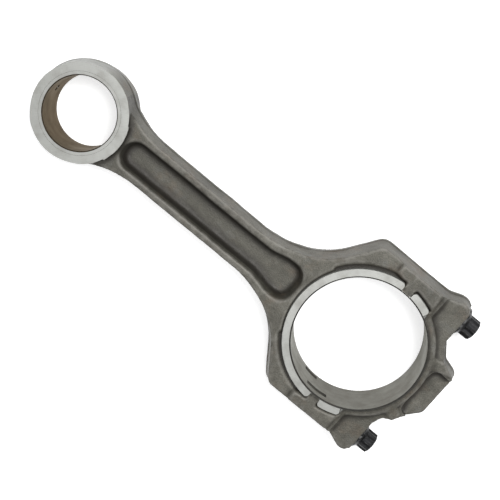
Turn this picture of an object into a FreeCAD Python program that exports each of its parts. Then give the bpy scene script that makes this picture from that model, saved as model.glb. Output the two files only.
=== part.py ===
"""A diesel engine's connecting rod, in millimetres.

The origin is the centre of the crank bore. +X runs to the gudgeon pin end, Z is the axis of both
bores, and the forging's parting line lies in the plane z = 0. Five pieces: the rod forging, its
bearing cap, the bush in the small end and the two bolts that hold the cap.
"""
import FreeCAD, Part
import math
import os
import sys
import Sketcher

Vector = FreeCAD.Vector

SIZES = {
    # the two bores and their machined faces
    "centre_distance": 216.0,
    "crank_bore_r": 41.0,
    "thrust_face_r": 46.4,
    "thrust_face_z": 19.5,
    "bore_chamfer": 0.9,
    "pin_bore_r": 22.5,
    "bush_outer_r": 25.0,
    "eye_face_z": 17.5,
    "eye_outer_r": 32.2,
    "bush_chamfer": 0.6,
    "oil_hole_r": 2.25,
    # the forging as a whole
    "draft": 8.5,
    "eye_draft": 5.0,
    "band_z": 18.3,
    "beyond": 90.0,
    "overrun": 6.0,
    # plan outline of the rod, at the parting line
    "shoulder_y": 57.7,
    "shoulder_x": 27.5,
    "shoulder_round": 8.0,
    "throat_x": 49.5,
    "throat_y": 26.0,
    "throat_round": 48.0,
    "shank_y": 16.0,
    "shank_start_x": 77.0,
    "shank_end_x": 181.0,
    "shank_round": 60.0,
    "flare_x": 200.0,
    "flare_y": 27.3,
    # side outline of the rod: heights above the parting line
    "band_end_x": 10.5,
    "step_end_x": 11.6,
    "shoulder_z": 16.4,
    "slope_start_x": 40.0,
    "shank_z": 13.0,
    "slope_end_x": 68.0,
    "rise_start_x": 168.0,
    "neck_x": 196.0,
    "neck_z": 14.6,
    "rod_end_x": 255.0,
    # the channel in each side of the shank, at its floor
    "web_z": 3.8,
    "channel_depth": 15.0,
    "channel_start_x": 52.0,
    "channel_bell_x": 64.0,
    "channel_bell_y": 10.4,
    "channel_bell_round": 7.0,
    "channel_bell_bend": 20.0,
    "channel_neck_x": 76.0,
    "channel_neck_round": 40.0,
    "channel_y": 7.4,
    "channel_end_x": 181.5,
    "channel_end_round": 7.0,
    "channel_draft": 13.0,
    "channel_floor_round": 3.0,
    # plan outline of the cap, at the parting line
    "cap_side_x": 23.0,
    "cap_side_round": 14.0,
    "lug_x": 32.0,
    "lug_y": 61.3,
    "lug_round": 6.0,
    "lug_end_x": 41.6,
    "lug_end_round": 7.5,
    "waist_y": 34.2,
    "waist_round": 2.0,
    "left_notch_x": 43.9,
    "left_notch_y": 28.6,
    "left_rib_x": 48.4,
    "left_rib_y": 26.8,
    "left_hip_x": 52.0,
    "left_hip_y": 20.4,
    "left_crown_y": 10.0,
    "right_notch_x": 49.4,
    "right_notch_y": 24.6,
    "right_crown_y": 21.2,
    "crown_x": 60.8,
    "crown_round": 5.0,
    # heights of the cap, and its seats, rim, ribs and end pad
    "cap_band_x": 22.0,
    "cap_step_x": 23.2,
    "lug_z": 14.2,
    "rim_z": 16.6,
    "face_start_x": 5.0,
    "face_end_x": 19.5,
    "rod_face_x": 2.5,
    "seat_x": 39.3,
    "seat_inner_y": 33.4,
    "rib_inner_x": 37.0,
    "rib_inner_y": 21.0,
    "rib_root_x": 39.5,
    "rib_root_y": 14.0,
    "left_rib_outer_x": 46.6,
    "left_rib_outer_y": 25.0,
    "left_rib_tip_x": 50.0,
    "left_rib_tip_y": 18.8,
    "right_rib_outer_x": 47.6,
    "right_rib_outer_y": 24.4,
    "right_rib_tip_x": 57.0,
    "right_rib_tip_y": 19.6,
    "rib_z": 15.6,
    "pad_x": 46.6,
    "pad_y": 16.5,
    "pad_round": 4.0,
    "pad_z": 10.2,
    # notches for the bearing shells' tangs
    "tang_outer_y": 42.1,
    "tang_low": 6.6,
    "tang_high": 12.2,
    "tang_rod_x": 7.0,
    "tang_cap_x": 8.0,
    "tang_far_x": 10.0,
    "tang_far_low": 10.2,
    "tang_far_high": 15.8,
    # cap bolts
    "bolt_y": 48.0,
    "bolt_thread_r": 6.0,
    "bolt_shank_r": 5.3,
    "bolt_fit_r": 6.25,
    "bolt_fit_start_x": 9.0,
    "bolt_fit_end_x": 4.0,
    "bolt_thread_x": 6.0,
    "bolt_point_x": 24.8,
    "bolt_point_r": 5.0,
    "bolt_end_x": 26.0,
    "flange_r": 9.6,
    "flange_rim_x": 41.6,
    "flange_back_x": 43.8,
    "head_root_r": 6.9,
    "head_end_x": 51.3,
    "head_length": 8.6,
    "head_corner_r": 6.9,
    "head_chamfer_r": 6.0,
    "head_chamfer_x": 50.6,
    "head_dimple_r": 3.2,
    "head_dimple": 0.8,
    "cap_hole_r": 6.3,
    "rod_fit_r": 6.3,
    "rod_fit_x": 4.6,
    "tapped_hole_r": 6.05,
    "tapped_hole_x": 28.5,
}

document = FreeCAD.newDocument("connecting_rod")
sheet = document.addObject("Spreadsheet::Sheet", "Sizes")
for row, (alias, size) in enumerate(SIZES.items(), start=1):
    sheet.set(f"A{row}", alias)
    sheet.set(f"B{row}", str(size))
    sheet.setAlias(f"B{row}", alias)
document.recompute()


def size_of(name):
    """A size from the sheet. A minus before the name turns its sign, and no name is zero."""
    if not name:
        return 0.0
    if name.startswith("-"):
        return -float(sheet.get(name[1:]))
    return float(sheet.get(name))


def cell(name):
    """The same size as an expression."""
    return f"-Sizes.{name[1:]}" if name.startswith("-") else f"Sizes.{name}"


def new_body(name):
    body = document.addObject("PartDesign::Body", name)
    body.Label = name
    return body


def origin_plane(body, role):
    return next(plane for plane in body.Origin.OriginFeatures if plane.Role == role)


def new_sketch(body, name, role, height=None):
    """A sketch on one of the body's own origin planes, or at a height above it."""
    sketch = body.newObject("Sketcher::SketchObject", name)
    sketch.AttachmentSupport = (origin_plane(body, role), [""])
    sketch.MapMode = "FlatFace"
    if height:
        sketch.setExpression("AttachmentOffset.Base.z", cell(height))
    return sketch


def pin_down(sketch, item, point, across, up):
    """Ties one point of the sketch to its two sizes, or to an axis where a size is zero."""
    for kind, name, axis in (("DistanceX", across, -2), ("DistanceY", up, -1)):
        if name:
            number = sketch.addConstraint(
                Sketcher.Constraint(kind, -1, 1, item, point, size_of(name)))
            sketch.setExpression(f"Constraints[{number}]", cell(name))
        else:
            sketch.addConstraint(Sketcher.Constraint("PointOnObject", item, point, axis))


def outline(sketch, corners):
    """A closed outline of straight lines through corners of (across, up, radius) names."""
    points = [Vector(size_of(across), size_of(up), 0) for across, up, radius in corners]
    radii = [size_of(radius) for across, up, radius in corners]
    count = len(points)
    arrivals, departures, arcs = [], [], []
    for index in range(count):
        corner = points[index]
        back = (points[index - 1] - corner).normalize()
        ahead = (points[(index + 1) % count] - corner).normalize()
        half_angle = back.getAngle(ahead) / 2
        setback = radii[index] / math.tan(half_angle)
        arrivals.append(corner + back * setback)
        departures.append(corner + ahead * setback)
        arcs.append(None)
        if radii[index]:
            centre = corner + (back + ahead).normalize() * (radii[index] / math.sin(half_angle))
            turns_left = back.cross(ahead).z < 0
            first = arrivals[index] if turns_left else departures[index]
            last = departures[index] if turns_left else arrivals[index]
            start = math.atan2(first.y - centre.y, first.x - centre.x)
            end = math.atan2(last.y - centre.y, last.x - centre.x)
            if end < start:
                end += 2 * math.pi
            circle = Part.Circle(centre, Vector(0, 0, 1), radii[index])
            arcs[index] = (sketch.addGeometry(Part.ArcOfCircle(circle, start, end)), turns_left)
    lines = [sketch.addGeometry(Part.LineSegment(departures[index], arrivals[(index + 1) % count]))
             for index in range(count)]
    for index, (across, up, radius) in enumerate(corners):
        before, after = lines[index - 1], lines[index]
        if arcs[index] is None:
            sketch.addConstraint(Sketcher.Constraint("Coincident", before, 2, after, 1))
            pin_down(sketch, after, 1, across, up)
            continue
        arc, turns_left = arcs[index]
        sketch.addConstraint(Sketcher.Constraint("Tangent", before, 2, arc, 1 if turns_left else 2))
        sketch.addConstraint(Sketcher.Constraint("Tangent", arc, 2 if turns_left else 1, after, 1))
        number = sketch.addConstraint(Sketcher.Constraint("Radius", arc, radii[index]))
        sketch.setExpression(f"Constraints[{number}]", cell(radius))
        mark = sketch.addGeometry(Part.Point(points[index]), True)
        sketch.addConstraint(Sketcher.Constraint("PointOnObject", mark, 1, before))
        sketch.addConstraint(Sketcher.Constraint("PointOnObject", mark, 1, after))
        pin_down(sketch, mark, 1, across, up)


def circle(sketch, radius, across="", up=""):
    """A circle about a centre of named sizes."""
    centre = Vector(size_of(across), size_of(up), 0)
    item = sketch.addGeometry(Part.Circle(centre, Vector(0, 0, 1), size_of(radius)))
    number = sketch.addConstraint(Sketcher.Constraint("Radius", item, size_of(radius)))
    sketch.setExpression(f"Constraints[{number}]", cell(radius))
    if across or up:
        pin_down(sketch, item, 3, across, up)
    else:
        sketch.addConstraint(Sketcher.Constraint("Coincident", item, 3, -1, 1))


def mirrored_corners(corners):
    """The corners given, and then their mirror image across the X axis, back to the start."""
    flipped = [(across, f"-{up}", radius) for across, up, radius in reversed(corners) if up]
    return corners + flipped


def solid_change(body, grows):
    """Rebuilds the document and fails if the last feature didn't change the solid as it should."""
    document.recompute()
    now = body.Shape.Volume
    before = VOLUMES.get(body.Name, 0.0)
    if (now - before if grows else before - now) < 1e-3:
        sys.exit(f"{body.Name}: {body.Tip.Name} changed nothing {before} {now} {body.Tip.State}")
    VOLUMES[body.Name] = now


VOLUMES = {}


def pad(body, sketch, half, taper=None):
    """Adds the sketch's area, to the same height on both sides of its plane."""
    feature = body.newObject("PartDesign::Pad", sketch.Name + "_pad")
    feature.Profile = sketch
    feature.SideType = "Symmetric"
    feature.setExpression("Length", f"2 * {cell(half)}")
    if taper:
        feature.setExpression("TaperAngle", cell(taper))
        feature.setExpression("TaperAngle2", cell(taper))
    solid_change(body, grows=True)
    return feature


def pocket_through(body, sketch):
    """Cuts the sketch's area away on both sides of its plane."""
    feature = body.newObject("PartDesign::Pocket", sketch.Name + "_pocket")
    feature.Profile = sketch
    feature.SideType = "Symmetric"
    feature.Type = "ThroughAll"
    solid_change(body, grows=False)
    return feature


def pocket_one_way(body, sketch, length, towards_normal, taper=None):
    """Cuts the sketch's area away on one side of its plane."""
    feature = body.newObject("PartDesign::Pocket", sketch.Name + "_pocket")
    feature.Profile = sketch
    feature.setExpression("Length", cell(length))
    feature.Reversed = towards_normal
    if taper:
        feature.setExpression("TaperAngle", cell(taper))
    solid_change(body, grows=False)
    return feature


def revolve(body, kind, sketch):
    """Turns the sketch about the X axis, to add it or to cut it away."""
    feature = body.newObject(f"PartDesign::{kind}", sketch.Name + "_turned")
    feature.Profile = sketch
    feature.ReferenceAxis = (sketch, ["H_Axis"])
    solid_change(body, grows=kind == "Revolution")
    return feature


def hexagon(sketch, corner_radius, point_up):
    """A regular hexagon about the sketch's centre, with one corner on an axis."""
    radius = size_of(corner_radius)
    ring = sketch.addGeometry(Part.Circle(Vector(), Vector(0, 0, 1), radius), True)
    sketch.addConstraint(Sketcher.Constraint("Coincident", ring, 3, -1, 1))
    number = sketch.addConstraint(Sketcher.Constraint("Radius", ring, radius))
    sketch.setExpression(f"Constraints[{number}]", cell(corner_radius))
    first_angle = math.radians(90 if point_up else 0)
    points = [Vector(radius * math.cos(first_angle + side * math.pi / 3),
                     radius * math.sin(first_angle + side * math.pi / 3), 0)
              for side in range(6)]
    sides = [sketch.addGeometry(Part.LineSegment(points[side], points[(side + 1) % 6]))
             for side in range(6)]
    for side in range(6):
        sketch.addConstraint(Sketcher.Constraint(
            "Coincident", sides[side - 1], 2, sides[side], 1))
        sketch.addConstraint(Sketcher.Constraint("PointOnObject", sides[side], 1, ring))
        if side:
            sketch.addConstraint(Sketcher.Constraint("Equal", sides[0], sides[side]))
    axis = -2 if point_up else -1
    sketch.addConstraint(Sketcher.Constraint("PointOnObject", sides[0], 1, axis))


def mirror(body, features, role):
    """Repeats the features across one of the body's origin planes."""
    feature = body.newObject("PartDesign::Mirrored", features[0].Name + "_mirrored")
    feature.Originals = features
    feature.MirrorPlane = (origin_plane(body, role), [""])
    body.Tip = feature
    return feature


def edges_where(body, test):
    """Names of the edges whose own shape passes the test."""
    return [f"Edge{number}" for number, edge in enumerate(body.Shape.Edges, start=1) if test(edge)]


def dress(body, kind, name, edges, cell_name):
    """A fillet or a chamfer on the named edges."""
    if not edges:
        sys.exit(f"{body.Name}: {name} found no edges")
    base = body.Tip
    feature = body.newObject(f"PartDesign::{kind}", name)
    feature.Base = (base, edges)
    feature.setExpression("Radius" if kind == "Fillet" else "Size", cell(cell_name))
    document.recompute()
    if not feature.isValid():
        sys.exit(f"{body.Name}: {name} failed")
    VOLUMES[body.Name] = body.Shape.Volume
    return feature


def is_circle(edge, radius, height):
    """True for an arc of this radius that lies at this height, on either side."""
    curve = edge.Curve
    if not hasattr(curve, "Radius") or abs(curve.Radius - radius) > 0.02:
        return False
    return all(abs(abs(vertex.Z) - height) < 0.02 for vertex in edge.Vertexes)


def lies_at(edge, axis, place):
    """True for an edge whose every point is at this place along the axis, on either side."""
    low = getattr(edge.BoundBox, axis + "Min")
    high = getattr(edge.BoundBox, axis + "Max")
    return high - low < 0.02 and abs(abs(low) - abs(place)) < 0.02


def round_edges(body, name, radius, test):
    return dress(body, "Fillet", name, edges_where(body, test), radius)


def chamfer_bore(body, name, radius, height, chamfer):
    """Breaks the edges of a bore on both faces."""
    edges = edges_where(body, lambda edge: is_circle(edge, size_of(radius), size_of(height)))
    return dress(body, "Chamfer", name, edges, chamfer)


def cross_holes(body, name, radius, depth):
    """The pair of bolt holes along X: to a depth from the joint face, or right through."""
    sketch = new_sketch(body, name, "YZ_Plane")
    circle(sketch, radius, "bolt_y")
    circle(sketch, radius, "-bolt_y")
    if depth:
        return pocket_one_way(body, sketch, depth, True)
    return pocket_through(body, sketch)


def tang_notch(body, name, start, end, low, high):
    """A notch in the +Y wall of the crank bore for a bearing shell's tang."""
    sketch = new_sketch(body, name, "XZ_Plane")
    outline(sketch, [(start, low, ""), (end, low, ""), (end, high, ""), (start, high, "")])
    return pocket_one_way(body, sketch, "tang_outer_y", True)


def oil_hole(body, name):
    """A hole along X through the outer wall of the eye."""
    sketch = new_sketch(body, name, "YZ_Plane", "centre_distance")
    circle(sketch, "oil_hole_r")
    return pocket_one_way(body, sketch, "beyond", True)


def slab_above(body, name, heights, role="XZ_Plane"):
    """Cuts the forging down, above and below, to a side outline of (x, z) names."""
    sketch = new_sketch(body, name, role)
    first, last = heights[0][0], heights[-1][0]
    for sign in ("", "-"):
        corners = [(x, sign + z, "") for x, z in heights]
        outline(sketch, corners + [(last, sign + "beyond", ""), (first, sign + "beyond", "")])
    return pocket_through(body, sketch)


def make_rod():
    body = new_body("rod_forging")
    plan = new_sketch(body, "rod_plan", "XY_Plane")
    outline(plan, mirrored_corners([
        ("-overrun", "shoulder_y", ""),
        ("shoulder_x", "shoulder_y", "shoulder_round"),
        ("throat_x", "throat_y", "throat_round"),
        ("shank_start_x", "shank_y", "shank_round"),
        ("shank_end_x", "shank_y", "shank_round"),
        ("flare_x", "flare_y", ""),
        ("centre_distance", "", "")]))
    pad(body, plan, "band_z", "-draft")
    slab_above(body, "rod_side", [
        ("band_end_x", "band_z"),
        ("step_end_x", "shoulder_z"),
        ("slope_start_x", "shoulder_z"),
        ("slope_end_x", "shank_z"),
        ("rise_start_x", "shank_z"),
        ("neck_x", "neck_z"),
        ("rod_end_x", "neck_z")])
    eye = new_sketch(body, "rod_eye", "XY_Plane")
    circle(eye, "eye_outer_r", "centre_distance")
    pad(body, eye, "eye_face_z", "-eye_draft")
    ring = new_sketch(body, "rod_thrust_ring", "XY_Plane")
    circle(ring, "thrust_face_r")
    pad(body, ring, "thrust_face_z")
    joint = new_sketch(body, "rod_joint_face", "XY_Plane")
    outline(joint, [("", "beyond", ""), ("-beyond", "beyond", ""),
                    ("-beyond", "-beyond", ""), ("", "-beyond", "")])
    pocket_through(body, joint)
    slab_above(body, "rod_face_gap", [("-rod_face_x", "band_z"), ("rod_face_x", "band_z")])
    channel = new_sketch(body, "rod_channel", "XY_Plane", "web_z")
    outline(channel, mirrored_corners([
        ("channel_start_x", "channel_bell_y", "channel_bell_round"),
        ("channel_bell_x", "channel_bell_y", "channel_bell_bend"),
        ("channel_neck_x", "channel_y", "channel_neck_round"),
        ("channel_end_x", "channel_y", "channel_end_round")]))
    cut = pocket_one_way(body, channel, "channel_depth", True, "channel_draft")
    mirror(body, [cut], "XY_Plane")
    solid_change(body, grows=False)
    bores = new_sketch(body, "rod_bores", "XY_Plane")
    circle(bores, "crank_bore_r")
    circle(bores, "bush_outer_r", "centre_distance")
    pocket_through(body, bores)
    floor = size_of("web_z")
    round_edges(body, "rod_channel_floor", "channel_floor_round", lambda edge: (
        lies_at(edge, "Z", floor) and edge.BoundBox.XMin > size_of("thrust_face_r")))
    chamfer_bore(body, "rod_bore_chamfer", "crank_bore_r", "thrust_face_z", "bore_chamfer")
    cross_holes(body, "rod_fitted_holes", "rod_fit_r", "rod_fit_x")
    cross_holes(body, "rod_tapped_holes", "tapped_hole_r", "tapped_hole_x")
    tang_notch(body, "rod_tang_near", "", "tang_rod_x", "tang_low", "tang_high")
    tang_notch(body, "rod_tang_far", "", "tang_far_x", "-tang_far_high", "-tang_far_low")
    oil_hole(body, "rod_oil_hole")
    return body


def make_cap():
    body = new_body("bearing_cap")
    plan = new_sketch(body, "cap_plan", "XY_Plane")
    outline(plan, [
        ("overrun", "shoulder_y", ""),
        ("-cap_side_x", "shoulder_y", "cap_side_round"),
        ("-lug_x", "lug_y", "lug_round"),
        ("-lug_end_x", "lug_y", "lug_end_round"),
        ("-lug_end_x", "waist_y", "waist_round"),
        ("-left_notch_x", "left_notch_y", "waist_round"),
        ("-left_rib_x", "left_rib_y", "waist_round"),
        ("-left_hip_x", "left_hip_y", "waist_round"),
        ("-crown_x", "left_crown_y", "crown_round"),
        ("-crown_x", "-right_crown_y", "crown_round"),
        ("-right_notch_x", "-right_notch_y", "waist_round"),
        ("-lug_end_x", "-waist_y", "waist_round"),
        ("-lug_end_x", "-lug_y", "lug_end_round"),
        ("-lug_x", "-lug_y", "lug_round"),
        ("-cap_side_x", "-shoulder_y", "cap_side_round"),
        ("overrun", "-shoulder_y", "")])
    pad(body, plan, "band_z", "-draft")
    slab_above(body, "cap_side", [
        ("-beyond", "lug_z"), ("-cap_step_x", "lug_z"), ("-cap_band_x", "band_z")])
    rim = new_sketch(body, "cap_rim", "XY_Plane")
    circle(rim, "thrust_face_r")
    pad(body, rim, "thrust_face_z")
    slab_above(body, "cap_rim_top", [
        ("-beyond", "rim_z"), ("-face_end_x", "rim_z")])
    slab_above(body, "cap_face_gap", [
        ("-face_start_x", "band_z"), ("beyond", "band_z")])
    for side, sign in (("left", ""), ("right", "-")):
        rib = new_sketch(body, f"cap_rib_{side}", "XY_Plane")
        outline(rib, [
            ("-rib_inner_x", f"{sign}rib_inner_y", ""),
            (f"-{side}_rib_outer_x", f"{sign}{side}_rib_outer_y", ""),
            (f"-{side}_rib_tip_x", f"{sign}{side}_rib_tip_y", ""),
            ("-rib_root_x", f"{sign}rib_root_y", "")])
        pad(body, rib, "rib_z")
    end_pad = new_sketch(body, "cap_end_pad", "XY_Plane", "pad_z")
    outline(end_pad, [
        ("-pad_x", "pad_y", "pad_round"), ("-beyond", "pad_y", ""),
        ("-beyond", "-pad_y", ""), ("-pad_x", "-pad_y", "pad_round")])
    cut = pocket_one_way(body, end_pad, "channel_depth", True)
    mirror(body, [cut], "XY_Plane")
    solid_change(body, grows=False)
    seats = new_sketch(body, "cap_bolt_seats", "XY_Plane")
    for sign in ("", "-"):
        outline(seats, [
            ("-seat_x", f"{sign}seat_inner_y", ""), ("-beyond", f"{sign}seat_inner_y", ""),
            ("-beyond", f"{sign}beyond", ""), ("-seat_x", f"{sign}beyond", "")])
    pocket_through(body, seats)
    joint = new_sketch(body, "cap_joint_face", "XY_Plane")
    outline(joint, [("", "beyond", ""), ("beyond", "beyond", ""),
                    ("beyond", "-beyond", ""), ("", "-beyond", "")])
    pocket_through(body, joint)
    bore = new_sketch(body, "cap_bore", "XY_Plane")
    circle(bore, "crank_bore_r")
    pocket_through(body, bore)
    chamfer_bore(body, "cap_bore_chamfer", "crank_bore_r", "thrust_face_z", "bore_chamfer")
    cross_holes(body, "cap_bolt_holes", "cap_hole_r", "")
    tang_notch(body, "cap_tang", "-tang_cap_x", "", "tang_low", "tang_high")
    return body


def make_bush():
    body = new_body("small_end_bush")
    section = new_sketch(body, "bush_section", "XY_Plane")
    circle(section, "bush_outer_r", "centre_distance")
    circle(section, "pin_bore_r", "centre_distance")
    pad(body, section, "eye_face_z")
    chamfer_bore(body, "bush_chamfer", "pin_bore_r", "eye_face_z", "bush_chamfer")
    oil_hole(body, "bush_oil_hole")
    return body


def make_bolt(name, sign):
    """A flanged bolt along X, its thread drawn as a plain cylinder at the thread's outer size."""
    body = new_body(name)
    section = new_sketch(body, f"{name}_section", "XY_Plane")
    outline(section, [
        ("bolt_end_x", "", ""),
        ("bolt_end_x", "bolt_point_r", ""),
        ("bolt_point_x", "bolt_thread_r", ""),
        ("bolt_thread_x", "bolt_thread_r", ""),
        ("bolt_thread_x", "bolt_shank_r", ""),
        ("bolt_fit_end_x", "bolt_shank_r", ""),
        ("bolt_fit_end_x", "bolt_fit_r", ""),
        ("-bolt_fit_start_x", "bolt_fit_r", ""),
        ("-bolt_fit_start_x", "bolt_shank_r", ""),
        ("-seat_x", "bolt_shank_r", ""),
        ("-seat_x", "flange_r", ""),
        ("-flange_rim_x", "flange_r", ""),
        ("-flange_back_x", "head_root_r", ""),
        ("-flange_back_x", "", "")])
    revolve(body, "Revolution", section)
    for turn in ("point_up", "flat_up"):
        head = new_sketch(body, f"{name}_head_{turn}", "YZ_Plane", "-head_end_x")
        hexagon(head, "head_corner_r", turn == "point_up")
        feature = body.newObject("PartDesign::Pad", f"{head.Name}_pad")
        feature.Profile = head
        feature.setExpression("Length", cell("head_length"))
        solid_change(body, grows=True)
    chamfer = new_sketch(body, f"{name}_chamfer", "XY_Plane")
    outline(chamfer, [
        ("-head_end_x", "head_chamfer_r", ""),
        ("-head_end_x", "flange_r", ""),
        ("-head_chamfer_x", "flange_r", ""),
        ("-head_chamfer_x", "head_corner_r", "")])
    revolve(body, "Groove", chamfer)
    dimple = new_sketch(body, f"{name}_dimple", "YZ_Plane", "-head_end_x")
    circle(dimple, "head_dimple_r")
    pocket_one_way(body, dimple, "head_dimple", True)
    body.setExpression(".Placement.Base.y", cell(f"{sign}bolt_y"))
    return body


def main():
    pieces = [
        make_rod(),
        make_cap(),
        make_bush(),
        make_bolt("cap_bolt_left", ""),
        make_bolt("cap_bolt_right", "-")]
    document.recompute()
    for item in document.Objects:
        if "Invalid" in item.State or "Error" in item.State:
            sys.exit(f"{item.Name} failed: {item.State}")
    for piece in pieces:
        if piece.Shape.isNull() or not piece.Shape.isValid() or len(piece.Shape.Solids) != 1:
            sys.exit(f"{piece.Label} has no single valid solid")
    os.makedirs("parts", exist_ok=True)
    for piece in pieces:
        piece.Shape.exportStep(f"parts/{piece.Label}.step")
        print(piece.Label, round(piece.Shape.Volume), piece.Shape.BoundBox)


main()
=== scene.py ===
"""Looks of the connecting rod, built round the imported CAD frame.

Shapes are worked out in millimetres, and new_object turns them into Blender's metres. The camera and
the lights are placed in metres.
"""
import math
import bpy
import numpy as np
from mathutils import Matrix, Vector


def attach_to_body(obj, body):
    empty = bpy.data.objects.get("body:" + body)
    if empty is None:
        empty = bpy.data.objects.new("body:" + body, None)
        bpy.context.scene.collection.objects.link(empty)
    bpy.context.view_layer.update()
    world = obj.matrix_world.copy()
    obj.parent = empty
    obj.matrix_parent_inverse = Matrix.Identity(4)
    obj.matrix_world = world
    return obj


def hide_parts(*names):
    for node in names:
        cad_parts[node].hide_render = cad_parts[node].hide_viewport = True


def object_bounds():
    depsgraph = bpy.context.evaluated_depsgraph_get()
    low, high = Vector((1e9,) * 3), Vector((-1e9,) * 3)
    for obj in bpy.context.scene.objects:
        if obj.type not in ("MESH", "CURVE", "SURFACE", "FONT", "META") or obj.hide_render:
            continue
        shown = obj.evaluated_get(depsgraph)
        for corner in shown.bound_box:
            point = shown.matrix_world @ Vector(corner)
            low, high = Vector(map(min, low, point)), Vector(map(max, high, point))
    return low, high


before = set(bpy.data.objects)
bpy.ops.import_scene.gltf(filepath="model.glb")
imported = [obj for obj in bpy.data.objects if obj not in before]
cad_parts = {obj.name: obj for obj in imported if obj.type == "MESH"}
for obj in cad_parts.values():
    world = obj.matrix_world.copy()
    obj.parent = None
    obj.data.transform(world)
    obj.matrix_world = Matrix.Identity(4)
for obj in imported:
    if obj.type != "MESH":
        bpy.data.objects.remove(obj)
CAD_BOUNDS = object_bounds()

MM = 0.001

# The CAD's own sizes
CENTRE_DISTANCE = 216.0
CRANK_BORE_R = 41.0
THRUST_R = 46.4
THRUST_Z = 19.5
BAND_Z = 18.3
BORE_CHAMFER = 0.9
EYE_Z = 17.5
EYE_TOP_R = 30.67
EYE_START_X = 183.0
BUSH_R = 25.0
PIN_R = 22.5
OIL_HOLE_R = 2.25
SHOULDER_Y = 57.7
DRAFT = 8.5
BOLT_Y = 48.0
FIT_HOLE_R = 6.3
THREAD_HOLE_R = 6.05
THREAD_HOLE_END_X = 28.5
SEAT_X = -39.3
SEAT_INNER_Y = 33.4
LUG_HALF = ((0, 59.0), (5, 58.0), (10, 56.7), (13.9, 55.0), (13.9, SEAT_INNER_Y + 1))

# Sectors of the ground ring, as start and end in degrees from the shank
ROD_RINGS = ((-86.9, 86.9),)
CAP_RINGS = ((96.2, 114.8), (245.2, 263.8))

# Notches for the shells' tangs, as low and high corners
ROD_NOTCHES = (((-5, 30, 6.6), (7, 42.1, 12.2)), ((-5, 30, -15.8), (10, 42.1, -10.2)))
CAP_NOTCHES = (((-8, 30, 6.6), (5, 42.1, 12.2)),)

# How the forgings are skinned: the waves are wavelength, depth and seed
VOXEL = 0.6
SKIN_PASSES = 12
SKIN_WAVES = ((26.0, 0.10, 1), (7.0, 0.045, 2), (2.6, 0.018, 3))
STOCK = 2.0
FAR = 90.0
ROUND_SEGMENTS = 192
HOLE_SEGMENTS = 64
OIL_HOLE_SEGMENTS = 48
SHARP_DEGREES = 35

# The flash's height and half width, and the channel that it stays out of
FLASH_HEIGHT = 0.6
FLASH_HALF = 1.3
CHANNEL_Y = 12.5
CHANNEL_START_X = 48.0
CHANNEL_END_X = 192.0

# The groove round the foot of the thrust ring: how deep and wide it is, and its four angles
FOOT_Z = 15.2
FOOT_NARROW = 0.7
FOOT_WIDE = 2.3
FOOT_PASSES = 6
ROD_GROOVE = (-5.0, 31.0, 76.0, 86.3)
CAP_GROOVE = (97.0, 190.0, 190.0, 114.0)

# How the painted shade in recesses and the eye's turned end are painted
SHADE_SPAN = 40
SHADE_DEPTH = 0.9
SHADE_PASSES = 10
RUN_OUT_Y = 9.0
CHANNEL_HALF = 7.4
BELL_WIDENING = 3.0
FLOOR_TOP_Z = 9.0
SHADE_START_X = 66.0
SHADE_END_X = 190.0
NECK_SHADE = 5.5
NECK_END_X = 200.0
TIP_DEGREES = (70.0, 112.0)

# Places of the materials on a forging's list
FORGED, GROUND, BORED = 0, 1, 2

# The bolts, with their turned profiles as places along the bolt and radii
HEAD_CORNER_R = 6.9
THREAD_R = 6.0
THREAD_PITCH = 1.5
THREAD_DEPTH = 0.92
THREAD_START_X = 5.9
BOLT_END_X = 26.0
BOLT_SEGMENTS = 144
BOLT_POINT_R = 0.15
RECESS = ((-50.5, BOLT_POINT_R), (-50.5, 2.9), (-50.7, 3.15), (-51.3, 3.3), (-51.3, 5.3), (-51.25, 5.55))
HEAD_SIDES_X = (-49.0, -47.0, -45.0, -44.1)
HEAD_ROOTS = ((-43.9, 6.3), (-43.75, 6.7))
FLANGE = ((-43.5, 7.0), (-42.6, 8.0), (-41.75, 9.25), (-41.45, 9.55), (-41.2, 9.6), (-39.55, 9.6),
          (-39.35, 9.45), (-39.3, 9.2), (-39.3, 5.9))
SHANK = ((-39.0, 5.5), (-38.4, 5.3), (-9.4, 5.3), (-9.0, 6.0), (-8.8, 6.2), (-8.5, 6.25), (3.3, 6.25),
         (3.6, 6.2), (3.8, 6.0), (4.1, 5.3), (5.6, 5.15))

# Camera, floor and lights
FLOOR_HALF = 4000
FLOOR_GLOW = 0.5
WORLD_STRENGTH = 0.25
TOP_PLACE = (0.05, 0.05, 1.3)
TOP_SIZE = 1.0
TOP_WATTS = 7.0
KEY_PLACE = (0.04, -0.52, 1.12)
KEY_SIZE = 0.45
KEY_WATTS = 11.0
LIGHTS_AIM = (0.09, 0, 0)
CAMERA_PLACE = (0.12164, -0.13879, 0.68562)
CAMERA_TURN = (-10.816, 5.091, -140.683)
CAMERA_LENS = 82.30

# Centres of the grinding wheel's arcs, in metres
WHEEL_CENTRES = ((0.62, -0.35), (-0.30, -0.66))


# ---------------------------------------------------------------- meshes

def new_object(name, points, faces):
    """A mesh object in the scene, from points in millimetres."""
    mesh = bpy.data.meshes.new(name)
    mesh.from_pydata([tuple(v * MM for v in point) for point in points], [], faces)
    mesh.update()
    thing = bpy.data.objects.new(name, mesh)
    bpy.context.scene.collection.objects.link(thing)
    return thing


def loft(name, rings):
    """A closed solid through rings of points, all with the same count, given from bottom to top."""
    count = len(rings[0])
    points = [point for ring in rings for point in ring]
    faces = [tuple(reversed(range(count)))]
    for level in range(len(rings) - 1):
        low, high = level * count, (level + 1) * count
        for here in range(count):
            after = (here + 1) % count
            faces.append((low + here, low + after, high + after, high + here))
    faces.append(tuple(range((len(rings) - 1) * count, len(rings) * count)))
    return new_object(name, points, faces)


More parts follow.
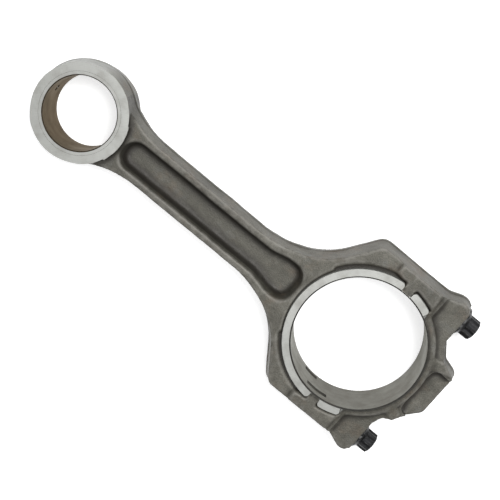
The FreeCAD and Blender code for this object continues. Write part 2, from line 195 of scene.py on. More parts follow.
def round_ring(radius, centre, axis="z", segments=ROUND_SEGMENTS):
    """Points round a circle about the centre, turning by the right hand about the axis."""
    ring = []
    for step in range(segments):
        angle = 2 * math.pi * step / segments
        across, up = radius * math.cos(angle), radius * math.sin(angle)
        if axis == "z":
            ring.append((centre[0] + across, centre[1] + up, centre[2]))
        else:
            ring.append((centre[0], centre[1] + across, centre[2] + up))
    return ring


def turned(name, profile, x=0.0, y=0.0, axis="z", segments=ROUND_SEGMENTS):
    """A turned solid: (place along the axis, radius) pairs from low to high."""
    rings = []
    for place, radius in profile:
        centre = (x, y, place) if axis == "z" else (place, y, 0.0)
        rings.append(round_ring(radius, centre, axis, segments))
    return loft(name, rings)


def block(name, low, high):
    (x0, y0, z0), (x1, y1, z1) = low, high
    return loft(name, [[(x0, y0, z), (x1, y0, z), (x1, y1, z), (x0, y1, z)] for z in (z0, z1)])


def combine(target, tool, operation):
    """Adds the tool to the target, or cuts it away, and removes the tool."""
    change = target.modifiers.new(operation.lower(), "BOOLEAN")
    change.operation = operation
    change.solver = "MANIFOLD"
    change.object = tool
    result = bpy.data.meshes.new_from_object(target.evaluated_get(bpy.context.evaluated_depsgraph_get()))
    target.modifiers.clear()
    target.data = result
    bpy.data.objects.remove(tool)


def join_copies(name, things):
    """One object that holds the meshes of all the things, which are removed."""
    points, faces = [], []
    for thing in things:
        first = len(points)
        points += [tuple(v / MM for v in vertex.co) for vertex in thing.data.vertices]
        faces += [tuple(first + number for number in face.vertices) for face in thing.data.polygons]
        bpy.data.objects.remove(thing)
    return new_object(name, points, faces)


def copy_of(node):
    """A free copy of a CAD node's mesh."""
    mesh = bpy.data.meshes.new_from_object(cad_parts[node])
    thing = bpy.data.objects.new(node + "_copy", mesh)
    bpy.context.scene.collection.objects.link(thing)
    return thing


def skin(thing):
    """Remeshes a rough union evenly and rounds its edges as a forging die leaves them."""
    remesh = thing.modifiers.new("skin", "REMESH")
    remesh.mode = "VOXEL"
    remesh.voxel_size = VOXEL * MM
    mesh = bpy.data.meshes.new_from_object(thing.evaluated_get(bpy.context.evaluated_depsgraph_get()))
    thing.modifiers.clear()
    thing.data = mesh
    places, neighbours, degree = mesh_arrays(mesh)
    for _ in range(SKIN_PASSES):
        places += 0.5 * (neighbour_mean(places, neighbours, degree) - places)
    keep_places(mesh, places)
    roughen(mesh)


def keep_places(mesh, places):
    """Moves a mesh's vertices to these places, in metres."""
    mesh.vertices.foreach_set("co", places.ravel())
    mesh.update()


def vertex_normals(mesh):
    normals = np.empty(len(mesh.vertices) * 3)
    mesh.vertices.foreach_get("normal", normals)
    return normals.reshape(-1, 3)


def waves(places, wavelength, seed, count=14):
    """A smooth random field between about -1 and 1, as a sum of plane waves; places in millimetres."""
    random = np.random.default_rng(seed)
    field = np.zeros(len(places))
    for _ in range(count):
        direction = random.normal(size=3)
        direction /= np.linalg.norm(direction)
        length = wavelength * random.uniform(0.6, 1.6)
        field += np.sin(places @ direction * (2 * math.pi / length) + random.uniform(0, 2 * math.pi))
    return field / math.sqrt(count)


def roughen(mesh):
    """The shallow waves and dimples that scale and blasting leave on a forging."""
    places, _, _ = mesh_arrays(mesh)
    height = sum(depth * waves(places / MM, wavelength, seed) for wavelength, depth, seed in SKIN_WAVES)
    places += vertex_normals(mesh) * (height * MM)[:, None]
    keep_places(mesh, places)


def mesh_arrays(mesh):
    """Places of a mesh's vertices in metres, its edges, and how many edges meet at each vertex."""
    count = len(mesh.vertices)
    places = np.empty(count * 3)
    mesh.vertices.foreach_get("co", places)
    edges = np.empty(len(mesh.edges) * 2, dtype=np.int64)
    mesh.edges.foreach_get("vertices", edges)
    edges = edges.reshape(-1, 2)
    degree = np.bincount(edges.ravel(), minlength=count).astype(float)
    return places.reshape(-1, 3), edges, degree


def neighbour_mean(values, edges, degree):
    """The mean of each vertex's neighbours, for each column of the values."""
    mean = np.empty_like(values)
    for column in range(values.shape[1]):
        source = values[:, column]
        total = np.bincount(edges[:, 0], weights=source[edges[:, 1]], minlength=len(values))
        total += np.bincount(edges[:, 1], weights=source[edges[:, 0]], minlength=len(values))
        mean[:, column] = total / degree
    return mean


def smooth_step(low, high, values):
    """0 below low and 1 above high, with a smooth rise between."""
    share = np.clip((values - low) / (high - low), 0.0, 1.0)
    return share * share * (3 - 2 * share)


def raise_flash(thing):
    """Sets the side walls back a little, so that the trimmed flash stands proud at the parting line."""
    mesh = thing.data
    places, _, _ = mesh_arrays(mesh)
    normals = vertex_normals(mesh)
    x, y, z = (places / MM).T
    upright = 1 - smooth_step(0.35, 0.75, np.abs(normals[:, 2]))
    off_line = smooth_step(FLASH_HALF * 0.7, FLASH_HALF * 1.5, np.abs(z))
    in_channel = (np.abs(y) < CHANNEL_Y) & (x > CHANNEL_START_X) & (x < CHANNEL_END_X)
    depth = FLASH_HEIGHT * (1 + 0.3 * waves(places / MM, 22, 5)) * upright * off_line * ~in_channel
    places -= normals * (depth * MM)[:, None]
    keep_places(mesh, places)


def ring_foot(places, groove):
    """How far each place lies in the groove round the thrust ring, from 0 to 1.

    The groove runs between the first and last of its four angles in degrees, and is wide between
    the middle two.
    """
    start, wide_from, wide_to, end = groove
    x, y, _ = (places / MM).T
    angle = np.degrees(np.arctan2(np.abs(y), x))
    wide = smooth_step(wide_from, wide_from + 2, angle) * (1 - smooth_step(wide_to, wide_to + 8, angle))
    reach = THRUST_R + FOOT_NARROW + (FOOT_WIDE - FOOT_NARROW) * wide
    inside = smooth_step(start - 1, start, angle) * (1 - smooth_step(end, end + 1, angle))
    return inside * (1 - smooth_step(-0.3, 0.5, np.hypot(x, y) - reach))


def sink_ring_foot(thing, groove):
    """Sinks the forging round the thrust ring, where the cutter ran, and eases the groove's edges."""
    mesh = thing.data
    places, edges, degree = mesh_arrays(mesh)
    z = places[:, 2] / MM
    places[:, 2] -= np.sign(z) * ring_foot(places, groove) * np.maximum(0, np.abs(z) - FOOT_Z) * MM
    radius = np.hypot(places[:, 0], places[:, 1]) / MM
    near = (np.abs(z) > FOOT_Z - 2) & (radius > THRUST_R - 2) & (radius < THRUST_R + FOOT_WIDE + 2)
    for _ in range(FOOT_PASSES):
        places += 0.5 * near[:, None] * (neighbour_mean(places, edges, degree) - places)
    keep_places(mesh, places)


def sector(r_in, r_out, start, end, corner, z):
    """Outline of a ring's sector between two angles in degrees, its outer corners rounded."""
    start, end = math.radians(start), math.radians(end)
    reach = r_out - corner
    swing = math.asin(corner / reach)
    outline = [(r_in * math.cos(start), r_in * math.sin(start), z)]
    for centre_angle, first, last in (
            (start + swing, start - math.pi / 2, start + swing),
            (end - swing, end - swing, end + math.pi / 2)):
        for step in range(9):
            angle = first + (last - first) * step / 8
            outline.append((reach * math.cos(centre_angle) + corner * math.cos(angle),
                            reach * math.sin(centre_angle) + corner * math.sin(angle), z))
        if first < centre_angle:
            for step in range(1, 96):
                angle = start + swing + (end - start - 2 * swing) * step / 96
                outline.append((r_out * math.cos(angle), r_out * math.sin(angle), z))
    for step in range(97):
        angle = end + (start - end) * step / 97
        outline.append((r_in * math.cos(angle), r_in * math.sin(angle), z))
    return outline


def thrust_ring(name, start, end):
    """A ground ring's sector through the whole width, with small chamfers on its rim."""
    edge = 0.25
    levels = ((-THRUST_Z, THRUST_R - edge), (edge - THRUST_Z, THRUST_R),
              (THRUST_Z - edge, THRUST_R), (THRUST_Z, THRUST_R - edge))
    return loft(name, [sector(CRANK_BORE_R - 2, radius, start, end, 2.0, z) for z, radius in levels])


def bore_tool(name, radius, face, chamfer, x=0.0):
    """A cutter for a bore with a chamfer at both faces."""
    out = STOCK * 2
    return turned(name, [
        (-face - out, radius + chamfer + out), (-face, radius + chamfer), (chamfer - face, radius),
        (face - chamfer, radius), (face, radius + chamfer), (face + out, radius + chamfer + out)], x=x)


def bolt_hole_tool(name, side, radius, start, end, point):
    """A cutter for a bolt's hole, with a drill point of this length at its end."""
    return turned(name, [(start, radius), (end, radius), (end + point, 0.2)],
                  y=side * BOLT_Y, axis="x", segments=HOLE_SEGMENTS)


def oil_hole_tool(name, reach):
    """A cutter from the middle of the eye out through its end."""
    return turned(name, [(CENTRE_DISTANCE, OIL_HOLE_R), (CENTRE_DISTANCE + reach, OIL_HOLE_R)],
                  axis="x", segments=OIL_HOLE_SEGMENTS)


def side_stock(start, end):
    """A slice of the big end's drafted section, that carries the forging on past the joint face."""
    top = SHOULDER_Y - BAND_Z * math.tan(math.radians(DRAFT))
    section = [(SHOULDER_Y, 0), (top, BAND_Z), (-top, BAND_Z),
               (-SHOULDER_Y, 0), (-top, -BAND_Z), (top, -BAND_Z)]
    return loft("plug", [[(x, y, z) for y, z in section] for x in (start, end)])


def lug_stock(side):
    """A slice of a lug's section at its bolt seat, carried on past the seat."""
    section = [(y * side, z) for z, y in LUG_HALF] + [(y * side, -z) for z, y in reversed(LUG_HALF[1:])]
    if side < 0:
        section.reverse()
    return loft("plug", [[(x, y, z) for y, z in section] for x in (SEAT_X - 2.5, SEAT_X + 1)])


def make_rod():
    """The rod: the CAD's forging with stock where it is machined, skinned, and then machined."""
    plugs = [
        turned("plug", [(-THRUST_Z, CRANK_BORE_R + 1), (THRUST_Z, CRANK_BORE_R + 1)]),
        turned("plug", [(-EYE_Z - STOCK, EYE_TOP_R - 0.2), (-EYE_Z, EYE_TOP_R), (EYE_Z, EYE_TOP_R),
                        (EYE_Z + STOCK, EYE_TOP_R - 0.2)], x=CENTRE_DISTANCE),
        side_stock(-4, 1)]
    rod = join_copies("rod_forged", [copy_of("rod_forging")] + plugs)
    skin(rod)
    raise_flash(rod)
    sink_ring_foot(rod, ROD_GROOVE)
    for start, end in ROD_RINGS:
        combine(rod, thrust_ring("tool", start, end), "UNION")
    for side in (1, -1):
        low, high = sorted((side * EYE_Z, side * FAR))
        combine(rod, block("tool", (EYE_START_X, -FAR, low), (FAR * 3, FAR, high)), "DIFFERENCE")
    combine(rod, block("tool", (-FAR, -FAR, -FAR), (0, FAR, FAR)), "DIFFERENCE")
    combine(rod, bore_tool("tool", CRANK_BORE_R, THRUST_Z, BORE_CHAMFER), "DIFFERENCE")
    combine(rod, bore_tool("tool", BUSH_R, EYE_Z, 0.05, x=CENTRE_DISTANCE), "DIFFERENCE")
    for side in (1, -1):
        combine(rod, bolt_hole_tool("tool", side, FIT_HOLE_R, -2, 4.6, 0.2), "DIFFERENCE")
        combine(rod, bolt_hole_tool("tool", side, THREAD_HOLE_R, -2, THREAD_HOLE_END_X, 3), "DIFFERENCE")
    for low, high in ROD_NOTCHES:
        combine(rod, block("tool", low, high), "DIFFERENCE")
    combine(rod, oil_hole_tool("tool", FAR), "DIFFERENCE")
    return rod


def make_cap():
    """The cap, made as the rod is."""
    plugs = [
        turned("plug", [(-THRUST_Z, CRANK_BORE_R + 1), (THRUST_Z, CRANK_BORE_R + 1)]),
        side_stock(-1, 4), lug_stock(1), lug_stock(-1)]
    cap = join_copies("cap_forged", [copy_of("bearing_cap")] + plugs)
    skin(cap)
    raise_flash(cap)
    sink_ring_foot(cap, CAP_GROOVE)
    for start, end in CAP_RINGS:
        combine(cap, thrust_ring("tool", start, end), "UNION")
    combine(cap, block("tool", (0, -FAR, -FAR), (FAR, FAR, FAR)), "DIFFERENCE")
    combine(cap, bore_tool("tool", CRANK_BORE_R, THRUST_Z, BORE_CHAMFER), "DIFFERENCE")
    for side in (1, -1):
        combine(cap, bolt_hole_tool("tool", side, FIT_HOLE_R, -FAR, 2, 0.2), "DIFFERENCE")
    for low, high in ((SEAT_INNER_Y, FAR), (-FAR, -SEAT_INNER_Y)):
        combine(cap, block("tool", (-FAR, low, -FAR), (SEAT_X, high, FAR)), "DIFFERENCE")
    for low, high in CAP_NOTCHES:
        combine(cap, block("tool", low, high), "DIFFERENCE")
    return cap


# ---------------------------------------------------------------- materials

class Recipe:
    """A node material being put together. Sizes are in millimetres."""

    def __init__(self, name):
        self.material = bpy.data.materials.new(name)
        self.material.use_nodes = True
        self.tree = self.material.node_tree
        self.shader = self.tree.nodes["Principled BSDF"]
        self.place = self.tree.nodes.new("ShaderNodeTexCoord").outputs["Object"]

    def put(self, kind, inputs=(), **settings):
        """A node with its settings, and its inputs as (name or number, value or socket) pairs."""
        node = self.tree.nodes.new(kind)
        for name, value in settings.items():
            setattr(node, name, value)
        for name, value in inputs:
            self.feed(node.inputs[name], value)
        return node

    def feed(self, socket, value):
        """Links a socket to the input, or sets it to a number or colour."""
        if isinstance(value, bpy.types.NodeSocket):
            self.tree.links.new(value, socket)
        else:
            socket.default_value = value

    def finish(self, **inputs):
        """The material, with these inputs of its shader fed; an underscore stands for a space."""
        for name, value in inputs.items():
            self.feed(self.shader.inputs[name.replace("_", " ")], value)
        return self.material

    def stretched(self, x, y, z):
        """The place, with each axis drawn out by its own factor: small factors make long streaks."""
        return self.put("ShaderNodeVectorMath", [(0, self.place), (1, (x, y, z))],
                        operation="MULTIPLY").outputs[0]

    def noise(self, size, detail=3.0, rough=0.55, place=None):
        """A noise of this size in millimetres, from 0 to 1."""
        node = self.put("ShaderNodeTexNoise", [
            ("Vector", place or self.place), ("Scale", 1 / (size * MM)),
            ("Detail", detail), ("Roughness", rough)])
        return node.outputs["Fac"]

    def ramp(self, value, *stops):
        """A value turned into a colour or a grey by (place, colour or grey) stops."""
        node = self.put("ShaderNodeValToRGB", [("Fac", value)])
        elements = node.color_ramp.elements
        while len(elements) < len(stops):
            elements.new(0.5)
        for element, (place, colour) in zip(elements, stops):
            element.position = place
            element.color = (*colour, 1) if isinstance(colour, tuple) else (colour, colour, colour, 1)
        return node.outputs["Color"]

    def mix(self, share, first, second, blend="MIX"):
        node = self.put("ShaderNodeMix", data_type="RGBA", blend_type=blend)
        self.feed(node.inputs["Factor"], share)
        for number, value in ((6, first), (7, second)):
            self.feed(node.inputs[number], (*value, 1) if isinstance(value, tuple) else value)
        return node.outputs[2]

    def maths(self, operation, first, second=0.5):
        return self.put("ShaderNodeMath", [(0, first), (1, second)], operation=operation).outputs[0]

    def bump(self, height, depth, under=None):
        """A bump of this depth in millimetres, over another bump where one is given."""
        inputs = [("Height", height), ("Strength", 1.0), ("Distance", depth * MM)]
        if under:
            inputs.append(("Normal", under))
        return self.put("ShaderNodeBump", inputs).outputs["Normal"]

    def painted(self, name):
        """A value kept on the mesh's vertices."""
        return self.put("ShaderNodeAttribute", attribute_name=name).outputs["Fac"]


def forged_skin(name):
    """Blasted forging skin: dull brown-grey scale, rubbed lighter on edges, with painted shade darkening
    its creases and recesses.
    """
    made = Recipe(name)
    broad = made.noise(26, 4, 0.6)
    blotch = made.noise(5.5, 5, 0.62)
    grit = made.noise(0.55, 2, 0.6)
    pits = made.put("ShaderNodeTexVoronoi", [("Vector", made.place), ("Scale", 1 / (0.9 * MM))])
    scale = made.mix(0.45, made.ramp(broad, (0.3, 0.0), (0.7, 1.0)),
                     made.ramp(blotch, (0.3, 0.0), (0.72, 1.0)))
    colour = made.ramp(scale, (0.1, (0.057, 0.054, 0.0435)), (0.5, (0.091, 0.0865, 0.0705)),
                       (0.9, (0.145, 0.139, 0.117)))
    rust = made.ramp(made.noise(17, 5, 0.65), (0.52, 0.0), (0.70, 0.6))
    colour = made.mix(rust, colour, (0.114, 0.087, 0.061))
    grey = made.ramp(made.noise(12, 5, 0.6), (0.55, 0.0), (0.68, 0.35))
    colour = made.mix(grey, colour, (0.128, 0.131, 0.124))
    colour = made.mix(0.85, colour, made.ramp(grit, (0.30, 0.6), (0.5, 1.0), (0.72, 1.4)), "MULTIPLY")
    edge = made.painted("edge")
    worn = made.maths("MULTIPLY", made.ramp(edge, (0.6, 0.0), (0.85, 0.45)),
                      made.ramp(blotch, (0.35, 0.25), (0.6, 1.0)))
    colour = made.mix(worn, colour, (0.24, 0.23, 0.21))
    # painted shade: darker in concave creases, where the edge value is low
    fine = made.ramp(edge, (0.2, 0.6), (0.45, 0.0))
    colour = made.mix(fine, colour, (0.030, 0.027, 0.023))
    # painted shade: darkens recesses, the channel floor, the neck by the eye and the groove round the
    # thrust ring
    deep = made.ramp(made.painted("painted_shade"), (0.04, 0.92), (0.24, 0.55), (0.47, 0.0))
    colour = made.mix(deep, colour, (0.026, 0.023, 0.019))
    sheared = made.ramp(made.noise(1.2, 3, 0.6, made.stretched(0.25, 0.25, 3.0)),
                        (0.3, (0.105, 0.105, 0.098)), (0.7, (0.20, 0.198, 0.187)))
    colour = made.mix(made.maths("MULTIPLY", made.painted("flash"), 0.7), colour, sheared)
    tip = made.painted("tip")
    turned_lines = made.noise(0.5, 3, 0.65, made.stretched(0.05, 0.05, 1.0))
    colour = made.mix(made.maths("MULTIPLY", tip, 0.9), colour,
                      made.ramp(turned_lines, (0.3, (0.25, 0.252, 0.24)), (0.7, (0.37, 0.373, 0.355))))
    metal = made.maths("ADD", made.maths("MULTIPLY", tip, 0.4), 0.3)
    rough = made.ramp(blotch, (0.3, 0.46), (0.7, 0.62))
    normal = made.bump(blotch, 0.16)
    normal = made.bump(pits.outputs["Distance"], 0.07, normal)
    normal = made.bump(grit, 0.10, normal)
    return made.finish(Base_Color=colour, Roughness=rough, Metallic=metal, Normal=normal)


def ground_steel(name):
    """Faces ground flat: bright steel with shallow arcs from the wheel, faintly stained."""
    made = Recipe(name)
    arcs = []
    for x, y in WHEEL_CENTRES:
        away = made.put("ShaderNodeVectorMath", [(0, made.place), (1, (x, y, 0.0))], operation="SUBTRACT")
        reach = made.put("ShaderNodeVectorMath", [(0, away.outputs[0])], operation="LENGTH")
        line = made.put("ShaderNodeCombineXYZ", [(0, reach.outputs["Value"])]).outputs[0]
        arcs.append(made.noise(0.35, 3, 0.7, line))
    lay = made.mix(0.35, arcs[0], arcs[1])
    stain = made.noise(9, 5, 0.6)
    colour = made.ramp(lay, (0.3, (0.28, 0.283, 0.268)), (0.7, (0.41, 0.413, 0.393)))
    colour = made.mix(made.ramp(stain, (0.45, 0.0), (0.8, 0.6)), colour, (0.22, 0.213, 0.193))
    rough = made.ramp(stain, (0.3, 0.40), (0.7, 0.52))
    return made.finish(Base_Color=colour, Roughness=rough, Metallic=0.75, Normal=made.bump(lay, 0.012))


def bored_metal(name, dark, light, stain_colour, rough, glance):
    """A bored wall: fine rings round the bore, stains along it, and dull when seen at a glance."""
    made = Recipe(name)
    rings = made.noise(0.4, 3, 0.7, made.stretched(0.03, 0.03, 1.0))
    stain = made.noise(11, 5, 0.6)
    colour = made.ramp(rings, (0.3, dark), (0.7, light))
    colour = made.mix(made.ramp(stain, (0.42, 0.0), (0.72, 0.55)), colour, stain_colour)
    shine = made.ramp(stain, (0.3, rough), (0.7, rough + 0.14))
    return made.finish(Base_Color=colour, Roughness=shine, Metallic=0.9, Specular_Tint=(*glance, 1),
                       Normal=made.bump(rings, 0.012))


def black_oxide(name):
    """Black bolt finish, rubbed grey on its edges and a little brown in places."""
    made = Recipe(name)
    patch = made.noise(2.6, 5, 0.62)
    grain = made.noise(0.35, 2, 0.5)
    colour = made.ramp(patch, (0.3, (0.010, 0.0105, 0.0115)), (0.62, (0.023, 0.0235, 0.025)),
                       (0.8, (0.045, 0.042, 0.038)))
    worn = made.maths("MULTIPLY", made.ramp(made.painted("edge"), (0.66, 0.0), (0.95, 1.0)),
                      made.ramp(patch, (0.42, 0.0), (0.6, 0.7)))
    colour = made.mix(worn, colour, (0.20, 0.20, 0.195))
    rough = made.ramp(patch, (0.3, 0.34), (0.7, 0.52))
    normal = made.bump(grain, 0.02, made.bump(patch, 0.03))
    return made.finish(Base_Color=colour, Roughness=rough, Metallic=0.65, Normal=normal)


def paper(name):
    """White ground that glows a little, so that the object's shadow stays faint."""
    made = Recipe(name)
    colour = made.ramp(made.noise(60, 2, 0.5), (0.3, (0.90, 0.90, 0.90)), (0.7, (0.92, 0.92, 0.92)))
    return made.finish(Base_Color=colour, Roughness=0.9, Emission_Color=(1, 1, 1, 1),
                       Emission_Strength=FLOOR_GLOW)


def face_arrays(mesh):
    """Centres in millimetres and normals of a mesh's faces."""
    centres = np.empty(len(mesh.polygons) * 3)
    normals = np.empty(len(mesh.polygons) * 3)
    mesh.polygons.foreach_get("center", centres)
    mesh.polygons.foreach_get("normal", normals)
    return centres.reshape(-1, 3) / MM, normals.reshape(-1, 3)


def dress(thing, materials, choice):
    """Gives each face the material whose number is in choice, and marks the crisp edges."""
    mesh = thing.data
    mesh.materials.clear()
    for material in materials:
        mesh.materials.append(material)
    mesh.polygons.foreach_set("material_index", choice.astype(np.int32))
    mesh.shade_smooth()
    mesh.set_sharp_from_angle(angle=math.radians(SHARP_DEGREES))


def paint(mesh, name, values):
    """Keeps a value on each vertex, for Recipe.painted to read."""
    layer = mesh.attributes.new(name, "FLOAT", "POINT")
    layer.data.foreach_set("value", np.ascontiguousarray(values, dtype=np.float32))


def paint_edges(thing, name, span, reach, passes, shade=None):
    """Paints how far each vertex stands out from a smoothed copy: 0.5 is flat, 1 an edge, 0 a recess."""
    mesh = thing.data
    places, edges, degree = mesh_arrays(mesh)
    smoothed = places
    for _ in range(span):
        smoothed = neighbour_mean(smoothed, edges, degree)
    out = np.sum((places - smoothed) * vertex_normals(mesh), axis=1)
    out = np.clip(out / (reach * MM), -1, 1)[:, None]
    for _ in range(passes):
        out = 0.5 * out + 0.5 * neighbour_mean(out, edges, degree)
    value = 0.5 + 0.5 * out[:, 0]
    paint(mesh, name, shade(places, value) if shade else value)


def paint_flash(thing):
    """Paints the band along the parting line where the flash was sheared off."""
    mesh = thing.data
    places, _, _ = mesh_arrays(mesh)
    upright = 1 - smooth_step(0.25, 0.6, np.abs(vertex_normals(mesh)[:, 2]))
    paint(mesh, "flash", upright * (1 - smooth_step(0.9, 1.5, np.abs(places[:, 2] / MM))))


def paint_tip(thing):
    """Paints the end of the eye that was turned clean, fading out towards the shank."""
    mesh = thing.data
    x, y, _ = (mesh_arrays(mesh)[0] / MM).T
    turn = np.degrees(np.arctan2(np.abs(y), x - CENTRE_DISTANCE))
    outside = np.hypot(x - CENTRE_DISTANCE, y) > EYE_TOP_R - 1
    paint(mesh, "tip", (1 - smooth_step(*TIP_DEGREES, turn)) * outside)


def attach(thing, body, node):
    """Says which body the piece rides on and which CAD node it takes the place of."""
    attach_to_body(thing, body)
    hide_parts(node)


def machined_faces(thing):
    """Which faces of a forging are ground and which are bored, from where they lie."""
    centres, normals = face_arrays(thing.data)
    x, y, z = centres.T
    crank = np.hypot(x, y)
    eye = np.hypot(x - CENTRE_DISTANCE, y)
    flat = np.abs(normals[:, 2]) > 0.999
    upright = np.abs(normals[:, 2]) < 0.02
    choice = np.full(len(x), FORGED)
    choice[(np.abs(z) > THRUST_Z - 0.4) & (crank < THRUST_R + 0.1)] = GROUND
    choice[(np.abs(crank - THRUST_R) < 0.06) & upright & (np.abs(z) > 14)] = GROUND
    choice[(np.abs(z) > EYE_Z - 0.15) & flat & (x > EYE_START_X)] = GROUND
    choice[(np.abs(x) < 0.01) & (np.abs(normals[:, 0]) > 0.999)] = GROUND
    choice[(np.abs(x - SEAT_X) < 0.01) & (np.abs(normals[:, 0]) > 0.999)] = GROUND
    choice[(crank < CRANK_BORE_R + 1.6) & (np.abs(z) < THRUST_Z - 1.0)] = BORED
    choice[(crank < CRANK_BORE_R + 0.95) & ~flat] = BORED
    choice[(eye < BUSH_R + 0.2) & (np.abs(z) < EYE_Z)] = BORED
    for side in (1, -1):
        bolt = np.hypot(y - side * BOLT_Y, z)
        reach = np.minimum(FIT_HOLE_R + 0.05, 0.3 + (THREAD_HOLE_END_X + 3 - x) * 2.05)
        choice[(bolt < reach) & (np.abs(x) > 0.01) & (x > SEAT_X + 0.01)] = BORED
    choice[(np.hypot(y, z) < OIL_HOLE_R + 0.05) & (x > CENTRE_DISTANCE + BUSH_R)] = BORED
    return choice


def painted_shade_values(places, value, groove):
    """Shades what the light doesn't reach, where 0 is darkest, and clears the channel's run-out."""
    x, y, z = (places / MM).T
    clear = (1 - smooth_step(54, 66, x)) * (np.abs(y) < RUN_OUT_Y) * (x > CHANNEL_START_X)
    value = value + (0.5 - value) * 0.75 * clear
    # painted shade across the channel floor, darker towards its walls
    half = CHANNEL_HALF + BELL_WIDENING * (1 - smooth_step(64, 76, x))
    on_floor = (np.abs(z) < FLOOR_TOP_Z) & (np.abs(y) < CHANNEL_Y) & (x > SHADE_START_X) & (x < SHADE_END_X)
    across = smooth_step(-0.05, 1.0, np.abs(y) / half) * smooth_step(SHADE_START_X, SHADE_START_X + 8, x)
    value = np.where(on_floor, np.minimum(value, 0.5 - 0.38 * across), value)
    # painted shade on the neck beside the eye
    near_eye = 1 - smooth_step(EYE_TOP_R, EYE_TOP_R + NECK_SHADE, np.hypot(x - CENTRE_DISTANCE, y))
    value = np.minimum(value, 0.5 - 0.3 * near_eye * (x < NECK_END_X))
    # painted shadow in the groove round the thrust ring, darkest there
    in_groove = ring_foot(places, groove) * (np.hypot(x, y) > THRUST_R + 0.05)
    return np.minimum(value, 1 - in_groove * (np.abs(z) < THRUST_Z - 1.5))


def finish_forging(thing, body, node, groove, materials):
    """Paints, dresses and attaches the rod or the cap."""
    paint_edges(thing, "edge", 1, 0.03, 5)
    # painted shade kept on the vertices: recesses, channel floor, neck by the eye and the ring's groove
    paint_edges(thing, "painted_shade", SHADE_SPAN, SHADE_DEPTH, SHADE_PASSES,
                lambda places, value: painted_shade_values(places, value, groove))
    paint_flash(thing)
    paint_tip(thing)
    dress(thing, materials, machined_faces(thing))
    attach(thing, body, node)


# ---------------------------------------------------------------- bush and bolts

def make_bush(bronze, face):
    """The bush: a closed loop of rings, with its inner edges chamfered and its outer ones eased."""
    outer, inner = 0.06, 0.6
    loop = [(-EYE_Z, PIN_R + inner), (-EYE_Z, BUSH_R - outer), (outer - EYE_Z, BUSH_R),
            (EYE_Z - outer, BUSH_R), (EYE_Z, BUSH_R - outer), (EYE_Z, PIN_R + inner),
            (EYE_Z - inner, PIN_R), (inner - EYE_Z, PIN_R)]
    rings = [round_ring(radius, (CENTRE_DISTANCE, 0, z)) for z, radius in loop]
    count = len(rings[0])
    faces = []
    for level in range(len(rings)):
        low, high = level * count, (level + 1) % len(rings) * count
        faces += [(low + here, low + (here + 1) % count, high + (here + 1) % count, high + here)
                  for here in range(count)]
    bush = new_object("bush_bored", [point for ring in rings for point in ring], faces)
    combine(bush, oil_hole_tool("tool", 40), "DIFFERENCE")
    _, normals = face_arrays(bush.data)
    choice = np.where(np.abs(normals[:, 2]) > 0.99, 1, 0)
    dress(bush, [bronze, face], choice)
    attach(bush, "rod", "small_end_bush")


def twelve_point(angle):
    """Radius of the bolt head's outline: two hexagons, one turned by 30 degrees."""
    sixth = math.pi / 3
    radii = []
    for turn in (0.0, sixth / 2):
        off = (angle + turn) % sixth - sixth / 2
        radii.append(HEAD_CORNER_R * math.cos(sixth / 2) / math.cos(off))
    return max(radii)


def thread(x, angle):
    """Radius of the thread at a place along the bolt, its crests and roots a little flat."""
    turn = (x / THREAD_PITCH - angle / (2 * math.pi)) % 1.0
    ridge = min(1.0, max(0.0, 2.4 * abs(turn - 0.5) - 0.1))
    lead_in = min(THREAD_R, 5.0 + (BOLT_END_X - x) * 0.83, 5.1 + (x - THREAD_START_X) * 1.5)
    return min(lead_in, THREAD_R - THREAD_DEPTH * ridge)


def make_bolt(name, side, body, node, black):
    """One flanged bolt: a stack of rings from the head's end to the point."""
    stack = [(x, lambda angle, radius=radius: radius) for x, radius in RECESS]
    for step in range(5):
        x = -51.1 + 0.22 * step
        stack.append((x, lambda angle, cap=5.7 + 0.42 * step: min(cap, twelve_point(angle))))
    stack += [(x, twelve_point) for x in HEAD_SIDES_X]
    stack += [(x, lambda angle, floor=floor: max(floor, twelve_point(angle))) for x, floor in HEAD_ROOTS]
    stack += [(x, lambda angle, radius=radius: radius) for x, radius in FLANGE + SHANK]
    samples = int((BOLT_END_X - THREAD_START_X) / THREAD_PITCH * 10)
    for step in range(samples + 1):
        x = THREAD_START_X + (BOLT_END_X - THREAD_START_X) * step / samples
        stack.append((x, lambda angle, x=x: thread(x, angle)))
    stack.append((BOLT_END_X, lambda angle: BOLT_POINT_R))
    rings = []
    for x, radius_at in stack:
        ring = []
        for step in range(BOLT_SEGMENTS):
            angle = 2 * math.pi * step / BOLT_SEGMENTS
            radius = radius_at(angle)
            ring.append((x, side * BOLT_Y + radius * math.cos(angle), radius * math.sin(angle)))
        rings.append(ring)
    bolt = loft(name, rings)
    paint_edges(bolt, "edge", 1, 0.06, 1)
    dress(bolt, [black], np.zeros(len(bolt.data.polygons)))
    attach(bolt, body, node)


# ---------------------------------------------------------------- camera, floor and lights

def add_camera():
    data = bpy.data.cameras.new("camera")
    data.lens = CAMERA_LENS
    data.sensor_width = 36
    camera = bpy.data.objects.new("camera", data)
    camera.location = CAMERA_PLACE
    camera.rotation_euler = tuple(math.radians(angle) for angle in CAMERA_TURN)
    bpy.context.scene.collection.objects.link(camera)
    bpy.context.scene.camera = camera


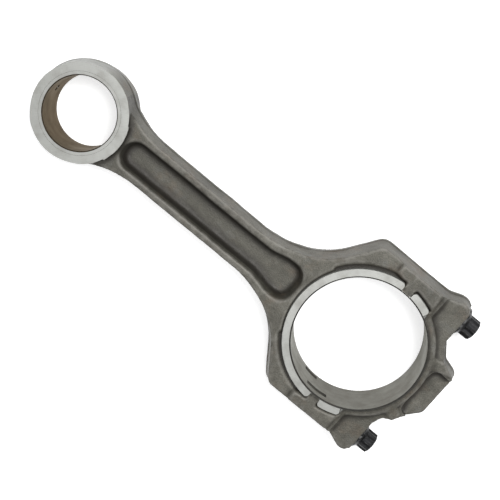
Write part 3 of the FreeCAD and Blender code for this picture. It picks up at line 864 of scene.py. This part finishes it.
def add_light(name, place, size, watts):
    """A square lamp that points at the middle of the object."""
    data = bpy.data.lights.new(name, "AREA")
    data.size = size
    data.energy = watts
    light = bpy.data.objects.new(name, data)
    light.location = place
    light.rotation_euler = (Vector(LIGHTS_AIM) - Vector(place)).to_track_quat("-Z", "Y").to_euler()
    bpy.context.scene.collection.objects.link(light)


def add_stage():
    """The white floor under the object, the pale world and the two lights."""
    low = CAD_BOUNDS[0][2] / MM
    corners = [(x * FLOOR_HALF, y * FLOOR_HALF, low) for x, y in ((-1, -1), (1, -1), (1, 1), (-1, 1))]
    floor = new_object("floor", corners, [(0, 1, 2, 3)])
    floor.data.materials.append(paper("floor_paper"))
    world = bpy.data.worlds.new("studio")
    world.use_nodes = True
    background = world.node_tree.nodes["Background"]
    background.inputs["Color"].default_value = (0.98, 0.99, 1.0, 1)
    background.inputs["Strength"].default_value = WORLD_STRENGTH
    bpy.context.scene.world = world
    bpy.context.scene.view_settings.view_transform = "Standard"
    add_light("top", TOP_PLACE, TOP_SIZE, TOP_WATTS)
    add_light("key", KEY_PLACE, KEY_SIZE, KEY_WATTS)


def build():
    ground = ground_steel("ground_steel")
    bored = bored_metal("bored_steel", dark=(0.092, 0.090, 0.082), light=(0.142, 0.139, 0.128),
                        stain_colour=(0.082, 0.071, 0.058), rough=0.36, glance=(0.82, 0.82, 0.77))
    bronze = bored_metal("bronze", dark=(0.068, 0.053, 0.038), light=(0.102, 0.080, 0.058),
                         stain_colour=(0.050, 0.038, 0.027), rough=0.40, glance=(0.67, 0.61, 0.52))
    black = black_oxide("black_oxide")
    finish_forging(make_rod(), "rod", "rod_forging", ROD_GROOVE,
                   [forged_skin("rod_skin"), ground, bored])
    finish_forging(make_cap(), "cap", "bearing_cap", CAP_GROOVE,
                   [forged_skin("cap_skin"), ground, bored])
    make_bush(bronze, ground)
    make_bolt("bolt_left_black", 1, "bolt_left", "cap_bolt_left", black)
    make_bolt("bolt_right_black", -1, "bolt_right", "cap_bolt_right", black)


build()
add_camera()
add_stage()
